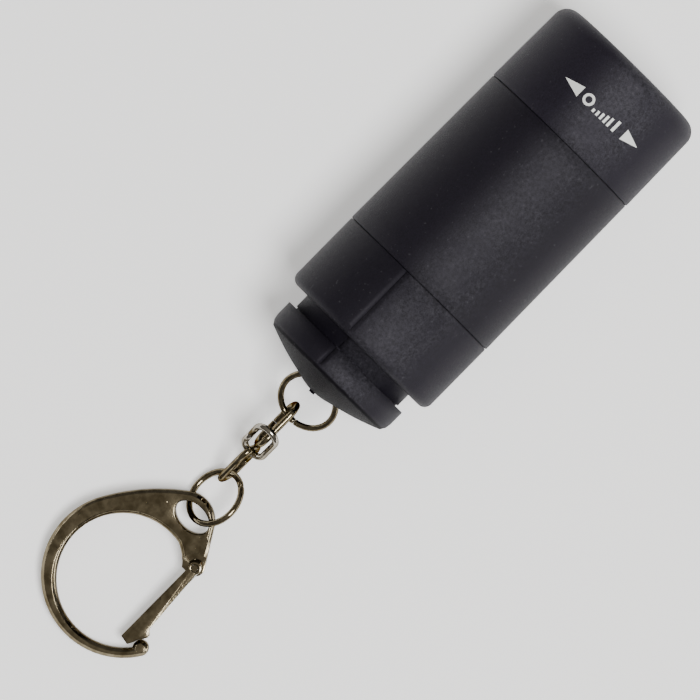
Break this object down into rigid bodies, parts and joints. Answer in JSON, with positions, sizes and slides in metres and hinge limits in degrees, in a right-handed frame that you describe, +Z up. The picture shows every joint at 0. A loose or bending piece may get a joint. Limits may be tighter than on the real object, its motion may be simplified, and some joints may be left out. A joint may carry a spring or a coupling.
{
  "type": "keychain flashlight",
  "caption": "Pocket torch with a twist head, a pull-off tail cap over a charging plug, and a short chain with a spring snap hook.",
  "frame": {"origin": "centre of the front rim, on the beam axis", "axes": "+X along the beam, away from the torch; +Z up from the surface it lies on; the chain and hook trail towards -X"},
  "size_m": [0.0947, 0.0222, 0.0222],
  "materials": {
    "casing": "satin rubberised coating, charcoal",
    "seal_rubber": "matte black rubber",
    "spring_steel": "drawn spring wire",
    "plug_steel": "nickel-plated sheet",
    "tongue_plastic": "white moulded plastic",
    "contact_gold": "gold-flashed",
    "board_green": "solder-masked glass fibre",
    "board_white": "white solder mask on aluminium",
    "chip_black": "moulded epoxy",
    "indicator": "tinted epoxy",
    "cell_wrap": "shrink sleeve",
    "insulator_card": "fibre card",
    "cradle_plastic": "moulded plastic",
    "lens_clear": "clear moulded plastic",
    "reflector_plating": "vacuum-metallised",
    "led_ceramic": "white ceramic",
    "led_phosphor": "phosphor under a clear dome",
    "nickel": "bright nickel plate"
  },
  "bodies": {
    "torch_body": {"body_shell": "casing", "head_seal": "seal_rubber", "cap_seal": "seal_rubber", "head_clip": "spring_steel", "usb_shell": "plug_steel", "usb_tongue": "tongue_plastic", "usb_contacts": "contact_gold", "main_board": "board_green", "charge_chip": "chip_black", "driver_chip": "chip_black", "charge_led": "indicator", "board_resistors": "chip_black", "battery_can": "cell_wrap", "battery_insulator": "insulator_card", "battery_tab_positive": "plug_steel", "battery_tab_negative": "plug_steel", "cell_cradle": "cradle_plastic", "contact_plate": "board_green", "contact_track_inner": "contact_gold", "contact_track_outer": "contact_gold", "link_pins": "contact_gold"},
    "head": {"head_shell": "casing", "lens": "lens_clear", "reflector": "reflector_plating", "led_board": "board_white", "led_package": "led_ceramic", "led_dome": "led_phosphor", "wiper_spring_inner": "contact_gold", "wiper_spring_outer": "contact_gold"},
    "cap": {"tail_cap": "casing"},
    "lug_ring": {"cap_ring": "nickel"},
    "top_link": {"chain_link_top": "nickel"},
    "middle_link": {"chain_link_middle": "nickel"},
    "bottom_link": {"chain_link_bottom": "nickel"},
    "swivel_ring": {"hook_ring": "nickel"},
    "hook": {"hook_body": "nickel", "gate_pin": "nickel", "gate_spring": "spring_steel"},
    "lever": {"gate": "nickel"}
  },
  "joints": [
    {"name": "head_twist", "type": "hinge", "parent": "torch_body", "child": "head", "pos_m": [-0.0122, 0, 0], "axis": [1, 0, 0], "range_deg": [0, 90]},
    {"name": "cap_pull", "type": "slide", "parent": "torch_body", "child": "cap", "axis": [-1, 0, 0], "range_m": [0, 0.0152]},
    {"name": "cap_ring_swing", "type": "hinge", "parent": "cap", "child": "lug_ring", "pos_m": [-0.05212, 0, 0], "axis": [0, 1, 0], "range_deg": [-12, 80]},
    {"name": "top_link_swing", "type": "hinge", "parent": "lug_ring", "child": "top_link", "pos_m": [-0.05771, 0.0002, -0.00363], "axis": [0, -1, 0], "range_deg": [-45, 45]},
    {"name": "middle_link_swing", "type": "hinge", "parent": "top_link", "child": "middle_link", "pos_m": [-0.06264, 0.0002, -0.00421], "axis": [0, -1, 0], "range_deg": [-15, 8]},
    {"name": "bottom_link_swing", "type": "hinge", "parent": "middle_link", "child": "bottom_link", "pos_m": [-0.06389, 0.0002, -0.00624], "axis": [0, 1, 0], "range_deg": [-20, 30]},
    {"name": "hook_ring_swing", "type": "hinge", "parent": "bottom_link", "child": "swivel_ring", "pos_m": [-0.06718, 0.0002, -0.00848], "axis": [0, -1, 0], "range_deg": [-10, 30]},
    {"name": "hook_swing", "type": "hinge", "parent": "swivel_ring", "child": "hook", "pos_m": [-0.07211, -0.00035, -0.00789], "axis": [0, 1, 0], "range_deg": [-15, 20]},
    {"name": "gate_swing", "type": "hinge", "parent": "hook", "child": "lever", "pos_m": [-0.07825, -0.0048, -0.00847], "axis": [0.0933, 0, -0.9956], "range_deg": [0, 24], "stiffness_Nm_per_rad": 0.004, "springref_deg": -28.65}
  ]
}
